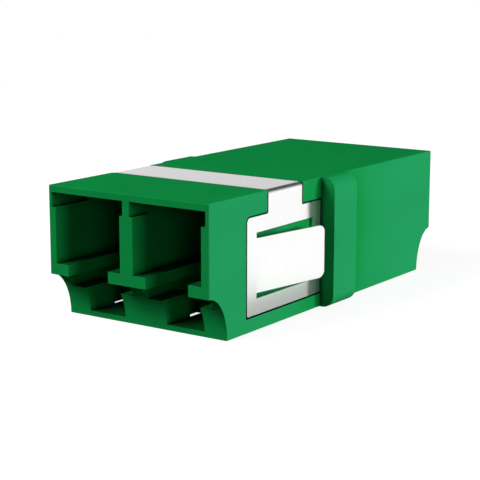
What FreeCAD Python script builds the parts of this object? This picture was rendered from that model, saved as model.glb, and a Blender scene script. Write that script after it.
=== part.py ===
import FreeCAD
import Part
import Sketcher
import math
import os
import re

# LC duplex fibre coupler that snaps into a panel cut-out, latch side down.
# X runs across the two ports, Y along the plugs and Z up. The origin lies under the
# middle of the body, the front mouth is at -Y, and left and right are seen from there.

# Driving sizes in millimetres, and one angle in degrees.
SIZES = {
    # Moulded body
    "body_length": 28.2,
    "body_height": 8.76,
    "side_wall": 0.555,
    "edge_radius": 0.08,
    "ridge_length": 2.9,  # panel stop on each side, along Y
    "ridge_reach": 1.02,  # how far it stands out
    "ridge_radius": 0.84,
    "relief_depth": 1.9,  # curved thumb relief under each mouth
    # Plug ports
    "port_pitch": 6.25,
    "port_height": 4.6,  # from the ledges to the ceiling
    "top_wall": 0.46,
    "post_width": 1.01,  # between the two ports at the mouth
    "post_length": 1.85,
    "divider_wall": 0.53,  # above and behind the post
    "mouth_rim": 0.24,  # side wall beside the upper, wider part of the mouth
    "mouth_step_height": 0.95,
    "mouth_step_depth": 3.2,
    "mid_wall": 1.4,
    # Latch side of a port
    "ledge_gap": 3.28,
    "ledge_thickness": 0.75,
    "ear_gap": 0.98,  # channel under the ledges for the latch ears
    "lever_slot_width": 2.95,
    "floor_thickness": 0.36,
    "shoulder_length": 4.35,  # from the mouth to the faces that hold the ears
    "latch_window_length": 2.25,
    # Folded steel clip
    "clip_sheet": 0.2,
    "clip_bend": 0.28,  # outside radius
    "clip_gap": 0.12,  # round its edges
    "clip_seat_gap": 0.02,  # under its faces
    "clip_corner": 0.3,
    "clip_small_corner": 0.15,
    "plate_setback": 4.02,  # from the mouth
    "plate_bottom": 1.03,
    "plate_height": 6.24,
    "strap_setback": 6.35,
    "strap_width": 3.89,
    "clip_frame": 1.02,  # metal left around the tongue
    "clip_tail": 0.84,
    "tongue_slot": 0.36,
    "tongue_lean": 9.6,
    "tongue_bend": 1.0,
    "tongue_end_gap": 0.29,
    "tongue_corner": 0.55,
    # Split sleeves and their holders
    "sleeve_bore": 1.246,
    "sleeve_diameter": 1.62,
    "sleeve_length": 6.8,
    "sleeve_slot": 0.3,
    "sleeve_play": 0.06,  # all round
    "sleeve_end_play": 0.1,
    "holder_diameter": 2.7,
    "holder_seat_gap": 0.02,
    "holder_flange": 4.2,
    "holder_flange_thickness": 0.6,
    "holder_flange_corner": 0.5,
    "holder_lip": 0.45,
    "holder_lip_hole": 1.4,
    "holder_lead_in": 0.3,
}

# Places worked out from the driving sizes, as formulas.
MOUTH = "(body_length / 2)"
PORT_WIDTH = "(port_pitch - post_width)"
BODY_SIDE = f"((port_pitch + {PORT_WIDTH}) / 2 + side_wall)"
CAVITY_DEPTH = "((body_length - mid_wall) / 2)"
CEILING = "(body_height - top_wall)"
LEDGE_TOP = f"({CEILING} - port_height)"
LEDGE_UNDERSIDE = f"({LEDGE_TOP} - ledge_thickness)"
SHOULDER_TOP = f"({LEDGE_UNDERSIDE} - ear_gap)"
PORT_AXIS = f"({CEILING} - port_height / 2)"
PLATE_TOP = "(plate_bottom + plate_height)"
PLATE_FRONT = f"(plate_setback - {MOUTH})"
PLATE_REAR = "(-ridge_length / 2 - clip_gap)"
STRAP_FRONT = f"(strap_setback - {MOUTH})"
STRAP_REAR = f"({STRAP_FRONT} + strap_width)"
CLIP_RECESS = "(clip_sheet + clip_seat_gap)"
SLEEVE_STOP = "(sleeve_length / 2 + sleeve_end_play)"
HOLDER_TIP = f"({SLEEVE_STOP} + holder_lip)"
PORT_CENTRES = ("(-port_pitch / 2)", "(port_pitch / 2)")

doc = FreeCAD.newDocument("lc_duplex_coupler")
sheet = doc.addObject("Spreadsheet::Sheet", "Sizes")
for row, (alias, size) in enumerate(SIZES.items(), start=1):
    sheet.set(f"A{row}", alias)
    sheet.set(f"B{row}", str(size))
    sheet.setAlias(f"B{row}", alias)
doc.recompute()


def bound(formula):
    """The formula with every size written as its cell of the sheet."""
    return re.sub(
        r"[a-z]\w+",
        lambda word: f"Sizes.{word[0]}" if word[0] in SIZES else word[0],
        formula,
    )


def number(formula):
    return float(sheet.evalExpression(bound(formula)))


def new_body(label):
    body = doc.addObject("PartDesign::Body", label)
    body.Label = label
    return body


def origin_part(body, role):
    return next(item for item in body.Origin.OriginFeatures if item.Role == role)


def sketch_on(body, name, plane, lift="0"):
    """A sketch parallel to one of the body's own planes, lifted along the plane's normal.

    XZ_Plane faces the front mouth (-Y), YZ_Plane faces +X and XY_Plane faces up.
    """
    sketch = body.newObject("Sketcher::SketchObject", name)
    sketch.AttachmentSupport = [(origin_part(body, plane), "")]
    sketch.MapMode = "FlatFace"
    sketch.setExpression("AttachmentOffset.Base.z", bound(lift))
    return sketch


def constrain(sketch, kind, where, formula):
    index = sketch.addConstraint(Sketcher.Constraint(kind, *where, number(formula)))
    sketch.setExpression(f"Constraints[{index}]", bound(formula))


def arc_between(here, there, radius, turn):
    """An arc shorter than half a circle, turning left or right on its way from here to there."""
    chord = there - here
    left = FreeCAD.Vector(-chord.y, chord.x, 0).normalize()
    rise = math.sqrt(max(radius**2 - (chord.Length / 2) ** 2, 0))
    centre = here + chord / 2 + left * (rise if turn == "left" else -rise)
    start, end = (here, there) if turn == "left" else (there, here)
    angles = [math.atan2(point.y - centre.y, point.x - centre.x) for point in (start, end)]
    return Part.ArcOfCircle(Part.Circle(centre, FreeCAD.Vector(0, 0, 1), radius), *angles)


def draw_loop(sketch, *corners):
    """A closed outline. Each corner is (across, up), and its side to the next corner is straight,
    or (across, up, radius, turn), and its side is an arc of that radius."""
    points = [FreeCAD.Vector(number(corner[0]), number(corner[1]), 0) for corner in corners]
    sides = []
    for corner, here, there in zip(corners, points, points[1:] + points[:1]):
        if len(corner) == 2:
            index = sketch.addGeometry(Part.LineSegment(here, there))
            sides.append((index, 1, 2))
        else:
            index = sketch.addGeometry(arc_between(here, there, number(corner[2]), corner[3]))
            sides.append((index, 1, 2) if corner[3] == "left" else (index, 2, 1))
            constrain(sketch, "Radius", (index,), corner[2])
    for (index, start, end), (following, begin, _) in zip(sides, sides[1:] + sides[:1]):
        sketch.addConstraint(Sketcher.Constraint("Coincident", index, end, following, begin))
    for corner, (index, start, _) in zip(corners, sides):
        constrain(sketch, "DistanceX", (-1, 1, index, start), corner[0])
        constrain(sketch, "DistanceY", (-1, 1, index, start), corner[1])


def draw_box(sketch, left, right, low, high):
    draw_loop(sketch, (left, low), (right, low), (right, high), (left, high))


def draw_circle(sketch, across, up, radius):
    centre = FreeCAD.Vector(number(across), number(up), 0)
    circle = Part.Circle(centre, FreeCAD.Vector(0, 0, 1), number(radius))
    index = sketch.addGeometry(circle)
    constrain(sketch, "DistanceX", (-1, 1, index, 3), across)
    constrain(sketch, "DistanceY", (-1, 1, index, 3), up)
    constrain(sketch, "Radius", (index,), radius)


def draw_ellipse(sketch, across, up, half_width, half_height):
    """An ellipse that is taller than it is wide."""
    centre = FreeCAD.Vector(number(across), number(up), 0)
    top = centre + FreeCAD.Vector(0, number(half_height), 0)
    side = centre - FreeCAD.Vector(number(half_width), 0, 0)
    index = sketch.addGeometry(Part.Ellipse(top, side, centre))
    sketch.exposeInternalGeometry(index)
    long_axis, short_axis = index + 1, index + 2
    constrain(sketch, "DistanceX", (-1, 1, index, 3), across)
    constrain(sketch, "DistanceY", (-1, 1, index, 3), up)
    sketch.addConstraint(Sketcher.Constraint("Vertical", long_axis))
    constrain(sketch, "Distance", (long_axis,), f"2 * {half_height}")
    constrain(sketch, "Distance", (short_axis,), f"2 * {half_width}")


def extrude(body, kind, name, sketch, length=None, **options):
    """A Pad or a Pocket of the sketch, or a Pocket right through where no length is given."""
    feature = body.newObject(f"PartDesign::{kind}", name)
    feature.Profile = sketch
    if length is None:
        feature.Type = "ThroughAll"
    else:
        feature.setExpression("Length", bound(length))
    for option, choice in options.items():
        setattr(feature, option, choice)
    return feature


def spin(body, kind, name, sketch):
    """A full Revolution or Groove of the sketch about the body's own Y axis."""
    feature = body.newObject(f"PartDesign::{kind}", name)
    feature.Profile = sketch
    feature.ReferenceAxis = (origin_part(body, "Y_Axis"), [""])
    feature.Angle = 360
    return feature


def mirror(body, name, plane, originals):
    feature = body.newObject("PartDesign::Mirrored", name)
    feature.Originals = originals
    feature.MirrorPlane = (origin_part(body, plane), [""])
    body.Tip = feature
    return feature


def round_edges(body, name, radius, *places):
    """Round the straight edges whose two ends both lie at one of the places, such as {"y": .., "z": ..}."""
    doc.recompute()
    base = body.Tip
    wanted = [{axis: number(formula) for axis, formula in place.items()} for place in places]
    edges = [
        f"Edge{count}"
        for count, edge in enumerate(base.Shape.Edges, start=1)
        if any(
            all(
                abs(getattr(vertex.Point, axis) - value) < 1e-4
                for vertex in edge.Vertexes
                for axis, value in place.items()
            )
            for place in wanted
        )
    ]
    feature = body.newObject("PartDesign::Fillet", name)
    feature.Base = (base, edges)
    feature.setExpression("Radius", bound(radius))
    body.Tip = feature
    return feature


def place_body(body, across="0", along="0", up="0"):
    for axis, formula in (("x", across), ("y", along), ("z", up)):
        body.setExpression(f"Placement.Base.{axis}", bound(formula))


def make_housing():
    """The one-piece moulding: outer block, side ridges, two ports at each end and the clip's seat."""
    body = new_body("housing")

    # Outer block, with a hollow thumb relief under each mouth: a quarter of an ellipse in side view
    block = sketch_on(body, "block_side_view", "YZ_Plane")
    draw_box(block, f"-{MOUTH}", MOUTH, "0", "body_height")
    extrude(body, "Pad", "block", block, f"2 * {BODY_SIDE}", SideType="Symmetric")
    sides = (BODY_SIDE, f"-{BODY_SIDE}")
    mouths = (MOUTH, f"-{MOUTH}")
    round_edges(
        body,
        "outer_edges",
        "edge_radius",
        *({"x": side, "z": height} for side in sides for height in ("0", "body_height")),
        *({"x": side, "y": mouth} for side in sides for mouth in mouths),
        *({"y": mouth, "z": "body_height"} for mouth in mouths),
    )
    reliefs = sketch_on(body, "reliefs_side_view", "YZ_Plane")
    for mouth in mouths:
        draw_ellipse(reliefs, mouth, "0", "relief_depth", LEDGE_UNDERSIDE)
    extrude(body, "Pocket", "reliefs", reliefs, SideType="Symmetric")

    # Panel stops: a ridge on each side, rounded at its outer corners
    ridge_side = f"({BODY_SIDE} + ridge_reach)"
    shoulder = f"({ridge_side} - ridge_radius)"
    high = "(body_height - ridge_radius)"
    ridges = sketch_on(body, "ridge_front_view", "XZ_Plane")
    draw_loop(
        ridges,
        (f"-{shoulder}", "0"),
        (shoulder, "0", "ridge_radius", "left"),
        (ridge_side, "ridge_radius"),
        (ridge_side, high, "ridge_radius", "left"),
        (shoulder, "body_height"),
        (f"-{shoulder}", "body_height", "ridge_radius", "left"),
        (f"-{ridge_side}", high),
        (f"-{ridge_side}", "ridge_radius", "ridge_radius", "left"),
    )
    extrude(body, "Pad", "ridges", ridges, "ridge_length", SideType="Symmetric")

    # Each port: plug cavity, gap between the ledges, ear channel and lever slot, down to the floor
    ports = sketch_on(body, "ports_front_view", "XZ_Plane", MOUTH)
    for centre in PORT_CENTRES:
        draw_loop(
            ports,
            (f"{centre} + {PORT_WIDTH} / 2", CEILING),
            (f"{centre} - {PORT_WIDTH} / 2", CEILING),
            (f"{centre} - {PORT_WIDTH} / 2", LEDGE_TOP),
            (f"{centre} - ledge_gap / 2", LEDGE_TOP),
            (f"{centre} - ledge_gap / 2", LEDGE_UNDERSIDE),
            (f"{centre} - {PORT_WIDTH} / 2", LEDGE_UNDERSIDE),
            (f"{centre} - {PORT_WIDTH} / 2", SHOULDER_TOP),
            (f"{centre} - lever_slot_width / 2", SHOULDER_TOP),
            (f"{centre} - lever_slot_width / 2", "floor_thickness"),
            (f"{centre} + lever_slot_width / 2", "floor_thickness"),
            (f"{centre} + lever_slot_width / 2", SHOULDER_TOP),
            (f"{centre} + {PORT_WIDTH} / 2", SHOULDER_TOP),
            (f"{centre} + {PORT_WIDTH} / 2", LEDGE_UNDERSIDE),
            (f"{centre} + ledge_gap / 2", LEDGE_UNDERSIDE),
            (f"{centre} + ledge_gap / 2", LEDGE_TOP),
            (f"{centre} + {PORT_WIDTH} / 2", LEDGE_TOP),
        )
    port_cut = extrude(body, "Pocket", "ports", ports, CAVITY_DEPTH)

    # The mouth is wider near its ceiling, and the divider is thinner behind its front post
    steps = sketch_on(body, "mouth_steps_front_view", "XZ_Plane", MOUTH)
    thinning = sketch_on(body, "divider_front_view", "XZ_Plane", f"{MOUTH} - post_length")
    left_centre, right_centre = PORT_CENTRES
    rim = f"({BODY_SIDE} - mouth_rim)"
    step_low = f"{CEILING} - mouth_step_height"
    draw_box(steps, f"-{rim}", "-divider_wall / 2", step_low, CEILING)
    draw_box(steps, "divider_wall / 2", rim, step_low, CEILING)
    draw_box(thinning, left_centre, "-divider_wall / 2", LEDGE_TOP, CEILING)
    draw_box(thinning, "divider_wall / 2", right_centre, LEDGE_TOP, CEILING)
    step_cut = extrude(body, "Pocket", "mouth_steps", steps, "mouth_step_depth")
    thinning_cut = extrude(
        body, "Pocket", "divider_thinning", thinning, f"{CAVITY_DEPTH} - post_length"
    )

    # Behind the shoulders each ear drops into a window through the bottom, beside the lever slot
    windows = sketch_on(body, "latch_windows_plan", "XY_Plane")
    window_front = f"(shoulder_length - {MOUTH})"
    window_rear = f"{window_front} + latch_window_length"
    near, far = "lever_slot_width / 2", f"{PORT_WIDTH} / 2"
    for centre in PORT_CENTRES:
        draw_box(windows, f"{centre} - {far}", f"{centre} - {near}", window_front, window_rear)
        draw_box(windows, f"{centre} + {near}", f"{centre} + {far}", window_front, window_rear)
    window_top = f"{SHOULDER_TOP} + ear_gap / 2"
    window_cut = extrude(body, "Pocket", "latch_windows", windows, window_top, Reversed=True)
    mirror(body, "rear_ports", "XZ_Plane", [port_cut, step_cut, thinning_cut, window_cut])

    # Seats of the sleeve holders in the middle wall
    seats = sketch_on(body, "holder_seats_front_view", "XZ_Plane")
    for centre in PORT_CENTRES:
        draw_circle(seats, centre, PORT_AXIS, "holder_diameter / 2 + holder_seat_gap")
    extrude(body, "Pocket", "holder_seats", seats, SideType="Symmetric")

    # Seat of the clip: its side outline sunk into each side, and its strap into the top
    seat_front = f"({PLATE_FRONT} - clip_gap)"
    seat_rear = "(-ridge_length / 2)"
    seat_low = "(plate_bottom - clip_gap)"
    seat_high = f"({PLATE_TOP} + clip_gap)"
    strap_front = f"({STRAP_FRONT} - clip_gap)"
    strap_rear = f"({STRAP_REAR} + clip_gap)"
    side_seat = sketch_on(body, "clip_seat_side_view", "YZ_Plane", BODY_SIDE)
    draw_loop(
        side_seat,
        (seat_front, seat_low),
        (seat_rear, seat_low),
        (seat_rear, seat_high),
        (strap_rear, seat_high),
        (strap_rear, "body_height"),
        (strap_front, "body_height"),
        (strap_front, seat_high),
        (seat_front, seat_high),
    )
    side_cut = extrude(body, "Pocket", "clip_side_seat", side_seat, CLIP_RECESS)
    mirror(body, "clip_other_side_seat", "YZ_Plane", [side_cut])
    top_seat = sketch_on(body, "clip_seat_plan", "XY_Plane", "body_height")
    draw_box(top_seat, f"-{BODY_SIDE}", BODY_SIDE, strap_front, strap_rear)
    extrude(body, "Pocket", "clip_top_seat", top_seat, CLIP_RECESS)
    bend_side = f"({BODY_SIDE} - {CLIP_RECESS})"
    bend_height = f"(body_height - {CLIP_RECESS})"
    round_edges(
        body,
        "clip_seat_bends",
        f"clip_bend - {CLIP_RECESS}",
        {"x": bend_side, "z": bend_height},
        {"x": f"-{bend_side}", "z": bend_height},
    )
    round_edges(
        body,
        "clip_seat_corners",
        "clip_corner + clip_gap",
        {"y": seat_front, "z": seat_high},
    )
    return body


def make_panel_clip():
    """One folded strip of spring steel: a strap over the top, a plate and a tongue on each side."""
    body = new_body("panel_clip")
    outside = BODY_SIDE
    inside = f"({outside} - clip_sheet)"
    bend_start = "(body_height - clip_bend)"
    bend_end = f"({outside} - clip_bend)"
    under_strap = "(body_height - clip_sheet)"
    inner_bend = "(clip_bend - clip_sheet)"

    # Bent blank, as long as the side plates
    blank = sketch_on(body, "blank_front_view", "XZ_Plane", f"-{PLATE_FRONT}")
    draw_loop(
        blank,
        (outside, "plate_bottom"),
        (outside, bend_start, "clip_bend", "left"),
        (bend_end, "body_height"),
        (f"-{bend_end}", "body_height", "clip_bend", "left"),
        (f"-{outside}", bend_start),
        (f"-{outside}", "plate_bottom"),
        (f"-{inside}", "plate_bottom"),
        (f"-{inside}", bend_start, inner_bend, "right"),
        (f"-{bend_end}", under_strap),
        (bend_end, under_strap, inner_bend, "right"),
        (inside, bend_start),
        (inside, "plate_bottom"),
    )
    extrude(body, "Pad", "blank", blank, f"{PLATE_REAR} - {PLATE_FRONT}", Reversed=True)

    # Above the plates only the strap stays, and a window in each plate leaves room for its tongue
    clear = "(body_height + clip_sheet)"
    cuts = sketch_on(body, "cuts_side_view", "YZ_Plane")
    draw_box(cuts, f"{PLATE_FRONT} - clip_sheet", STRAP_FRONT, PLATE_TOP, clear)
    draw_box(cuts, STRAP_REAR, f"{PLATE_REAR} + clip_sheet", PLATE_TOP, clear)
    root = f"({PLATE_FRONT} + clip_frame)"
    window_low = "(plate_bottom + clip_frame)"
    window_high = f"({PLATE_TOP} - clip_frame)"
    window_rear = f"({PLATE_REAR} - clip_tail)"
    draw_box(cuts, root, window_rear, window_low, window_high)
    extrude(body, "Pocket", "cuts", cuts, SideType="Symmetric")

    # Tongue in plan: rooted in the front of the plate, bent outwards and then straight
    bend_out = f"({outside} + tongue_bend * (1 - cos(tongue_lean)))"
    bend_along = f"({root} + tongue_bend * sin(tongue_lean))"
    sheet_out = "(clip_sheet * cos(tongue_lean))"
    sheet_along = "(clip_sheet * sin(tongue_lean))"
    tongue_end = f"({window_rear} - tongue_end_gap)"
    tip_along = f"({tongue_end} - {sheet_along})"
    tip_out = f"({bend_out} + ({tip_along} - {bend_along}) * tan(tongue_lean))"
    anchor = f"({root} - clip_frame / 2)"
    tongue_low = f"({window_low} + tongue_slot)"
    tongue_high = f"({window_high} - tongue_slot)"
    tongue = sketch_on(body, "tongue_plan", "XY_Plane", tongue_low)
    draw_loop(
        tongue,
        (outside, anchor),
        (outside, root, "tongue_bend", "right"),
        (bend_out, bend_along),
        (tip_out, tip_along),
        (f"{tip_out} - {sheet_out}", tongue_end),
        (
            f"{bend_out} - {sheet_out}",
            f"{bend_along} + {sheet_along}",
            "tongue_bend + clip_sheet",
            "left",
        ),
        (inside, root),
        (inside, anchor),
    )
    tongue_pad = extrude(body, "Pad", "tongue", tongue, f"{tongue_high} - {tongue_low}")
    mirror(body, "other_tongue", "YZ_Plane", [tongue_pad])

    # Rounded corners of the tongues' free ends, the plates, the strap's roots and the windows' rear ends
    tongue_flat = f"({tongue_end} - tongue_corner)"
    corners = sketch_on(body, "tongue_corners_side_view", "YZ_Plane")
    draw_loop(
        corners,
        (tongue_flat, tongue_low),
        (window_rear, tongue_low),
        (window_rear, f"{tongue_low} + tongue_corner"),
        (tongue_end, f"{tongue_low} + tongue_corner", "tongue_corner", "right"),
    )
    draw_loop(
        corners,
        (tongue_end, f"{tongue_high} - tongue_corner"),
        (window_rear, f"{tongue_high} - tongue_corner"),
        (window_rear, tongue_high),
        (tongue_flat, tongue_high, "tongue_corner", "right"),
    )
    extrude(body, "Pocket", "tongue_corners", corners, SideType="Symmetric")
    round_edges(body, "front_corners", "clip_corner", {"y": PLATE_FRONT, "z": PLATE_TOP})
    round_edges(
        body,
        "small_corners",
        "clip_small_corner",
        {"y": PLATE_FRONT, "z": "plate_bottom"},
        {"y": PLATE_REAR, "z": "plate_bottom"},
        {"y": PLATE_REAR, "z": PLATE_TOP},
        {"y": STRAP_FRONT, "z": PLATE_TOP},
        {"y": STRAP_REAR, "z": PLATE_TOP},
        {"y": window_rear, "z": window_low},
        {"y": window_rear, "z": window_high},
    )
    return body


def make_split_sleeve(label, centre):
    """A ceramic tube slotted along its whole length, which grips two ferrules end to end."""
    body = new_body(label)
    ring = sketch_on(body, "ring", "XZ_Plane")
    draw_circle(ring, "0", "0", "sleeve_diameter / 2")
    draw_circle(ring, "0", "0", "sleeve_bore / 2")
    extrude(body, "Pad", "tube", ring, "sleeve_length", SideType="Symmetric")
    slot = sketch_on(body, "slot", "XZ_Plane")
    draw_box(slot, "-sleeve_slot / 2", "sleeve_slot / 2", "0", "sleeve_diameter")
    extrude(body, "Pocket", "slot_cut", slot, SideType="Symmetric")
    place_body(body, across=centre, up=PORT_AXIS)
    return body


def make_holder(label, centre, turned):
    """A flanged tube in the middle wall, half of the cage round a sleeve. Its lip keeps the sleeve in
    and opens outwards like a funnel, to lead the ferrule in."""
    body = new_body(label)
    half = "(holder_flange / 2)"
    flat = f"({half} - holder_flange_corner)"
    flange = sketch_on(body, "flange_front_view", "XZ_Plane", "mid_wall / 2")
    draw_loop(
        flange,
        (f"-{flat}", f"-{half}"),
        (flat, f"-{half}", "holder_flange_corner", "left"),
        (half, f"-{flat}"),
        (half, flat, "holder_flange_corner", "left"),
        (flat, half),
        (f"-{flat}", half, "holder_flange_corner", "left"),
        (f"-{half}", flat),
        (f"-{half}", f"-{flat}", "holder_flange_corner", "left"),
    )
    extrude(body, "Pad", "flange", flange, "holder_flange_thickness")

    # Tube from the middle of the wall to the lip, drawn as half a section beside the Y axis
    tube = sketch_on(body, "tube_section", "XY_Plane")
    draw_box(tube, "0", "holder_diameter / 2", f"-{HOLDER_TIP}", "0")
    spin(body, "Revolution", "tube", tube)
    bore = sketch_on(body, "bore_section", "XY_Plane")
    draw_loop(
        bore,
        ("0", f"-{HOLDER_TIP}"),
        ("holder_lip_hole / 2 + holder_lead_in", f"-{HOLDER_TIP}"),
        ("holder_lip_hole / 2", f"-{SLEEVE_STOP}"),
        ("sleeve_diameter / 2 + sleeve_play", f"-{SLEEVE_STOP}"),
        ("sleeve_diameter / 2 + sleeve_play", "0"),
        ("0", "0"),
    )
    spin(body, "Groove", "bore", bore)
    body.Placement.Rotation = FreeCAD.Rotation(FreeCAD.Vector(0, 0, 1), 180 if turned else 0)
    place_body(body, across=centre, up=PORT_AXIS)
    return body


def check(bodies):
    """Stop if a feature failed, a cut took nothing away or a piece isn't one valid solid."""
    for item in doc.Objects:
        if {"Invalid", "Error"} & set(item.State):
            raise RuntimeError(f"{item.Label} failed: {item.State}")
        if item.TypeId in ("PartDesign::Pocket", "PartDesign::Groove"):
            if item.Shape.Volume >= item.BaseFeature.Shape.Volume:
                raise RuntimeError(f"{item.Label} cuts nothing")
    for body in bodies:
        if body.Shape.isNull() or not body.Shape.isValid() or len(body.Shape.Solids) != 1:
            raise RuntimeError(f"{body.Label} isn't one valid solid")


pieces = [make_housing(), make_panel_clip()]
for side, port_centre in zip(("left", "right"), PORT_CENTRES):
    pieces.append(make_split_sleeve(f"{side}_split_sleeve", port_centre))
    pieces.append(make_holder(f"front_{side}_holder", port_centre, turned=False))
    pieces.append(make_holder(f"rear_{side}_holder", port_centre, turned=True))
doc.recompute()
check(pieces)

os.makedirs("parts", exist_ok=True)
for piece in pieces:
    piece.Shape.exportStep(f"parts/{piece.Label}.step")
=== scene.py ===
import math

import bpy
from mathutils import Matrix, Vector

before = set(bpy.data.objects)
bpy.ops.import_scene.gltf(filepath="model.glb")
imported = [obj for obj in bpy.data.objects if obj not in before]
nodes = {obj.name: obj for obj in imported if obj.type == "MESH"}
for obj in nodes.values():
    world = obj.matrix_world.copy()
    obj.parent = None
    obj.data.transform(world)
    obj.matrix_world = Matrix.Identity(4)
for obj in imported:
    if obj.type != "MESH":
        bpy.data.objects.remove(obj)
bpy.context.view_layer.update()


# Housing: one green injection moulding in glass-filled thermoplastic, with the ports, ledges and
# latch slots formed in the tool. The tool is spark eroded, which leaves a fine even grain, and the
# plastic flows in from the ends, which leaves faint clouds in the green.
millimetre = 0.001
# The pale green is painted light on the open side walls; the deep green is the plain colour, and on a
# side wall near cover it is painted shade
housing_painted_light = (0.0135, 0.268, 0.088)
housing_deep = (0.0050, 0.238, 0.051)
wall_reach = 9.0 * millimetre  # how far off a wall still gives cover
open_face = (0.96, 1.0)  # how free of cover a side wall is where it turns pale
# Painted shade on floors under cover
open_floor = (0.5, 0.9)  # how free of cover a floor is, from its darkest to its full colour
floor_shade = (0.3, 1.0)
# Painted shade in inside corners
corner_reach = 0.6 * millimetre  # how far out an inside corner looks darker
open_corner = (0.35, 0.9)
corner_shade = 0.1
cloud_scale = 320.0  # per metre: clouds about 3 mm wide
cloud_stretch = (1.0, 0.35, 1.0)  # drawn out along the plugs
cloud_span = (0.3, 0.7)
cloud_density = (0.95, 1.03)
grain_scale = 9000.0  # per metre: grain about 0.1 mm wide
grain_relief = 0.01 * millimetre
grain_strength = 0.25
plastic_roughness = (0.42, 0.62)


def finish_step(tree, kind, inputs, **menus):
    """One node of a finish. Each input is set to a plain value or fed by another node's output."""
    step = tree.nodes.new(f"ShaderNode{kind}")
    for menu, choice in menus.items():
        setattr(step, menu, choice)
    for socket, value in inputs.items():
        if isinstance(value, bpy.types.NodeSocket):
            tree.links.new(value, step.inputs[socket])
        else:
            step.inputs[socket].default_value = value
    return step


def ranged(tree, value, before=(0.0, 1.0), after=(0.0, 1.0)):
    """Takes a value from one range to another, and holds it at the ends."""
    limits = {"From Min": before[0], "From Max": before[1], "To Min": after[0], "To Max": after[1]}
    return finish_step(tree, "MapRange", {"Value": value, **limits}).outputs["Result"]


def two_tones(tree, factor, dark, light, ends=(0.0, 1.0)):
    """Goes from one colour to another as the factor goes from end to end."""
    tones = finish_step(tree, "ValToRGB", {"Fac": factor})
    for stop, position, colour in zip(tones.color_ramp.elements, ends, (dark, light)):
        stop.position = position
        stop.color = (*colour, 1.0)
    return tones.outputs["Color"]


def scaled(tree, colour, factor):
    """Makes a colour lighter or darker."""
    step = finish_step(tree, "VectorMath", {0: colour, "Scale": factor}, operation="SCALE")
    return step.outputs["Vector"]


def new_finish(name):
    """A material with its node tree, its shader and the coordinates of the piece."""
    finish = bpy.data.materials.new(name)
    finish.use_nodes = True
    tree = finish.node_tree
    return finish, tree, tree.nodes["Principled BSDF"], finish_step(tree, "TexCoord", {})


def raise_grain(tree, shader, pattern, strength, height):
    """Gives the surface the relief of a pattern."""
    relief = finish_step(tree, "Bump", {"Height": pattern, "Strength": strength, "Distance": height})
    tree.links.new(relief.outputs["Normal"], shader.inputs["Normal"])


def moulded_plastic(name, pale, deep):
    """Matt green plastic with clouds, grain, painted shade in corners and on covered floors, and painted
    light on open sides.
    """
    finish, tree, shader, place = new_finish(name)
    shader.inputs["Specular IOR Level"].default_value = 0.0

    # Deep green all over, and paler on the open side walls as painted light, as the photograph shows
    # them
    facing = finish_step(tree, "SeparateXYZ", {"Vector": place.outputs["Normal"]})
    sideways = finish_step(tree, "Math", {0: facing.outputs["X"]}, operation="ABSOLUTE")
    around = finish_step(tree, "AmbientOcclusion", {"Distance": wall_reach}, samples=64, only_local=True)
    openness = around.outputs["AO"]
    painted_side_light = ranged(tree, openness, before=open_face, after=(0.0, sideways.outputs[0]))
    painted_light_tint = two_tones(tree, painted_side_light, deep, pale)

    # Clouds a few millimetres long, drawn out along the flow, and painted shade inside corners
    flow = finish_step(tree, "Mapping", {"Vector": place.outputs["Object"], "Scale": cloud_stretch})
    cloud = {"Vector": flow.outputs["Vector"], "Scale": cloud_scale, "Detail": 3.0}
    clouds = finish_step(tree, "TexNoise", cloud)
    density = ranged(tree, clouds.outputs["Fac"], before=cloud_span, after=cloud_density)
    corners = finish_step(tree, "AmbientOcclusion", {"Distance": corner_reach}, samples=16)
    cloud_and_corner_shade = ranged(tree, corners.outputs["AO"], before=open_corner, after=(corner_shade, density))
    shaded = scaled(tree, painted_light_tint, cloud_and_corner_shade)

    # Painted shade on floors under cover, on the ledges and in the latch slots, darker than the open top
    cover = ranged(tree, openness, before=open_floor, after=floor_shade)
    covered_floor_shade = finish_step(tree, "Mix", {0: facing.outputs["Z"], 2: 1.0, 3: cover}, clamp_factor=True)
    tree.links.new(scaled(tree, shaded, covered_floor_shade.outputs[0]), shader.inputs["Base Color"])

    # Spark-eroded grain
    pits = {"Vector": place.outputs["Object"], "Scale": grain_scale, "Detail": 2.0}
    grain = finish_step(tree, "TexNoise", pits).outputs["Fac"]
    tree.links.new(ranged(tree, grain, after=plastic_roughness), shader.inputs["Roughness"])
    raise_grain(tree, shader, grain, grain_strength, grain_relief)
    return finish


def dress(piece, finish):
    """Puts a finish on a piece in place of its plain one."""
    slots = nodes[piece].data.materials
    slots.clear()
    slots.append(finish)


dress("housing", moulded_plastic("moulded_green", pale=housing_painted_light, deep=housing_deep))


# Sleeve holders: four flanged tubes in the same green plastic, two to a port, pressed together
# through the middle wall from both ends. They are plain mouldings deep in the ports.
# As on the housing, the paler green is painted light on open side faces, with painted shade in corners
# and on covered floors
holder_painted_light = (0.006, 0.240, 0.066)
holder_deep = (0.005, 0.220, 0.048)
holder_green = moulded_plastic("holder_green", pale=holder_painted_light, deep=holder_deep)
for end in ("front", "rear"):
    for side in ("left", "right"):
        dress(f"{end}_{side}_holder", holder_green)


# Split sleeves: ground white zirconia tubes, slotted along one side so that they grip the ferrules.
# The ceramic is dense, off-white and smooth, with a faint cloudiness.
ceramic_dark = (0.76, 0.74, 0.68)
ceramic_light = (0.84, 0.83, 0.78)
ceramic_cloud_scale = 1500.0  # per metre: clouds about 0.7 mm wide
ceramic_roughness = (0.18, 0.32)
zirconia, tree, shader, place = new_finish("ground_zirconia")
cloud = {"Vector": place.outputs["Object"], "Scale": ceramic_cloud_scale, "Detail": 3.0}
cloudiness = finish_step(tree, "TexNoise", cloud).outputs["Fac"]
tree.links.new(two_tones(tree, cloudiness, ceramic_dark, ceramic_light), shader.inputs["Base Color"])
tree.links.new(ranged(tree, cloudiness, after=ceramic_roughness), shader.inputs["Roughness"])
for side in ("left", "right"):
    dress(f"{side}_split_sleeve", zirconia)


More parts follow.
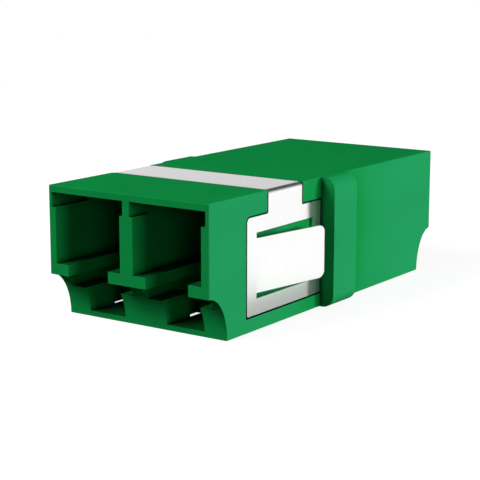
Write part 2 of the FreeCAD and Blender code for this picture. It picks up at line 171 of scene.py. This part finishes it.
# Panel clip: one strip of stainless spring steel, blanked, folded over the housing and let into its
# seat. The sheet keeps its rolled grain, which runs along the strip, over the top and down the sides.
steel_dark = (0.85, 0.85, 0.845)
steel_light = (0.91, 0.91, 0.905)
steel_roughness = (0.13, 0.19)
roll_line_scale = 14000.0  # per metre: lines about 0.07 mm wide
roll_line_stretch = (0.03, 1.0, 0.03)
roll_line_span = (0.25, 0.75)
roll_line_relief = 0.005 * millimetre
roll_line_strength = 0.12
steel, tree, shader, place = new_finish("rolled_stainless")
shader.inputs["Metallic"].default_value = 0.92
along = finish_step(tree, "Mapping", {"Vector": place.outputs["Object"], "Scale": roll_line_stretch})
line = {"Vector": along.outputs["Vector"], "Scale": roll_line_scale, "Detail": 4.0}
lines = finish_step(tree, "TexNoise", line).outputs["Fac"]
sheen = two_tones(tree, lines, steel_dark, steel_light, ends=roll_line_span)
tree.links.new(sheen, shader.inputs["Base Color"])
tree.links.new(ranged(tree, lines, after=steel_roughness), shader.inputs["Roughness"])
raise_grain(tree, shader, lines, roll_line_strength, roll_line_relief)
dress("panel_clip", steel)


# Studio: a pale sweep that the coupler lies on, seen as white, with soft lamps at the front left
# and the right rear, and weak ones at the right, before the port mouths and behind.
room_light = 0.10
seen_white = 1.0
world = bpy.data.worlds.new("studio")
bpy.context.scene.world = world
world.use_nodes = True
tree = world.node_tree
room = tree.nodes["Background"]

# The room is dim as light on the coupler, and bright where the camera or the steel sees it
rays = finish_step(tree, "LightPath", {}).outputs
either = {0: rays["Is Camera Ray"], 1: rays["Is Glossy Ray"]}
plain_or_mirrored = finish_step(tree, "Math", either, operation="MAXIMUM").outputs[0]
any_of = {0: plain_or_mirrored, 1: rays["Is Transmission Ray"]}
seen_directly = finish_step(tree, "Math", any_of, operation="MAXIMUM").outputs[0]
tree.links.new(ranged(tree, seen_directly, after=(room_light, seen_white)), room.inputs["Strength"])

# The steel mirrors a pale grey room, with one dark band part of the way up behind the coupler
behind = (0.71, 0.78)  # how squarely behind the band begins and is whole
band = ((0.0, 0.8), (0.20, 0.69), (0.42, 0.0), (0.66, 0.0), (0.74, 0.8), (1.0, 0.8))  # height, grey
outwards = finish_step(tree, "TexCoord", {}).outputs["Generated"]
direction = finish_step(tree, "SeparateXYZ", {"Vector": outwards}).outputs
height_behind = ranged(tree, direction["Y"], before=behind, after=(0.0, direction["Z"]))
sky = finish_step(tree, "ValToRGB", {"Fac": height_behind})
for height, grey in band[1:-1]:
    sky.color_ramp.elements.new(height)
for stop, (height, grey) in zip(sky.color_ramp.elements, band):
    stop.color = (grey, grey, grey, 1.0)
white_or_sky = {0: rays["Is Glossy Ray"], 6: (1.0, 1.0, 1.0, 1.0), 7: sky.outputs["Color"]}
room_colour = finish_step(tree, "Mix", white_or_sky, data_type="RGBA").outputs[2]
tree.links.new(room_colour, room.inputs["Color"])

# The sweep casts no shade, so that it doesn't count as cover for the painted shade in the plastic's
# corners
sweep_size = 3.0
sweep_drop = 0.01 * millimetre
bpy.ops.mesh.primitive_plane_add(size=sweep_size, location=(0.0, 0.0, -sweep_drop))
floor = bpy.context.object
floor.name = "floor"
floor.visible_shadow = False


def sheet(tree, grey, glow):
    """Paper of that grey, lit as it lies, with a glow of its own."""
    face = finish_step(tree, "BsdfDiffuse", {"Color": (grey, grey, grey, 1.0)})
    light = finish_step(tree, "Emission", {"Strength": glow})
    return finish_step(tree, "AddShader", {0: face.outputs[0], 1: light.outputs[0]}).outputs[0]


def choose(tree, factor, plain, other):
    """The plain sheet at factor 0, and the other at 1."""
    return finish_step(tree, "MixShader", {0: factor, 1: plain, 2: other}).outputs[0]


# Seen by the camera, the sheet keeps a faint shadow near the coupler and is plain white further out
shadow_fades = (60.0 * millimetre, 160.0 * millimetre)
paper, tree, shader, place = new_finish("white_sweep")
tree.nodes.remove(shader)
rays = finish_step(tree, "LightPath", {}).outputs
on_sheet = place.outputs["Object"]
reach = finish_step(tree, "VectorMath", {0: on_sheet}, operation="LENGTH").outputs["Value"]
far = ranged(tree, reach, before=shadow_fades)
near_sheet = sheet(tree, grey=0.25, glow=0.87)
seen = choose(tree, far, near_sheet, sheet(tree, grey=0.0, glow=seen_white))

# Seen in the steel, it carries a painted shadow of the coupler close beside it and is bright further out
painted_shade_ends = (10.5 * millimetre, 12.0 * millimetre)
across = finish_step(tree, "SeparateXYZ", {"Vector": on_sheet}).outputs["X"]
beside = finish_step(tree, "Math", {0: across}, operation="ABSOLUTE").outputs[0]
clear = ranged(tree, beside, before=painted_shade_ends)
# The darker sheet with less glow is a painted shadow of the coupler
painted_shade_sheet = sheet(tree, grey=0.78, glow=0.12)
mirrored = choose(tree, clear, painted_shade_sheet, sheet(tree, grey=1.0, glow=0.23))

# As light on the coupler it gives next to nothing back
lit = choose(tree, rays["Is Glossy Ray"], sheet(tree, grey=0.05, glow=0.0), mirrored)
through = choose(tree, rays["Is Transmission Ray"], lit, seen)
surface = choose(tree, rays["Is Camera Ray"], through, seen)
tree.links.new(surface, tree.nodes["Material Output"].inputs["Surface"])
floor.data.materials.append(paper)

# The lamps stand round the coupler at one distance, and the steel mirrors the room, not the lamps
lamp_distance = 0.25
lamp_aim = Vector((0.0, 0.0, 4.0 * millimetre))


def soft_lamp(name, azimuth, elevation, width, height, power):
    """A lamp with azimuth 0 in front of the clip's end and 90 at the right, in degrees."""
    data = bpy.data.lights.new(name, "AREA")
    data.shape = "RECTANGLE"
    data.size = width
    data.size_y = height
    data.energy = power
    lamp = bpy.data.objects.new(name, data)
    bpy.context.scene.collection.objects.link(lamp)
    round_by = math.radians(azimuth)
    up_by = math.radians(elevation)
    level = math.cos(up_by)
    outward = Vector((level * math.sin(round_by), -level * math.cos(round_by), math.sin(up_by)))
    lamp.location = lamp_distance * outward
    lamp.rotation_euler = (lamp_aim - lamp.location).to_track_quat("-Z", "Y").to_euler()
    lamp.visible_glossy = False


soft_lamp("side_lamp", azimuth=124, elevation=6, width=0.08, height=0.05, power=0.58)
soft_lamp("fill_lamp", azimuth=81, elevation=12, width=0.08, height=0.07, power=0.22)
soft_lamp("mouth_lamp", azimuth=46, elevation=12, width=0.06, height=0.05, power=0.038)
soft_lamp("front_lamp", azimuth=-36, elevation=41, width=0.14, height=0.12, power=0.63)
soft_lamp("back_lamp", azimuth=180, elevation=14, width=0.08, height=0.07, power=0.10)


# Camera: at the photograph's place, in front of the right-hand corner and a little above, with a
# long lens. Its turn, drop and roll are in degrees.
camera_place = (0.0548276, -0.0806511, 0.0232592)
camera_turn = 34.812
camera_drop = 11.422
camera_roll = 0.066
camera = bpy.data.objects.new("camera", bpy.data.cameras.new("camera"))
bpy.context.scene.collection.objects.link(camera)
camera.data.lens = 106.88
camera.data.sensor_width = 36.0
camera.data.clip_start = 0.005
camera.data.clip_end = 10.0
turn = Matrix.Rotation(math.radians(camera_turn), 4, "Z")
tilt = Matrix.Rotation(math.radians(90.0 - camera_drop), 4, "X")
roll = Matrix.Rotation(math.radians(camera_roll), 4, "Z")
camera.matrix_world = Matrix.Translation(camera_place) @ turn @ tilt @ roll
bpy.context.scene.camera = camera
bpy.context.scene.view_settings.view_transform = "Standard"
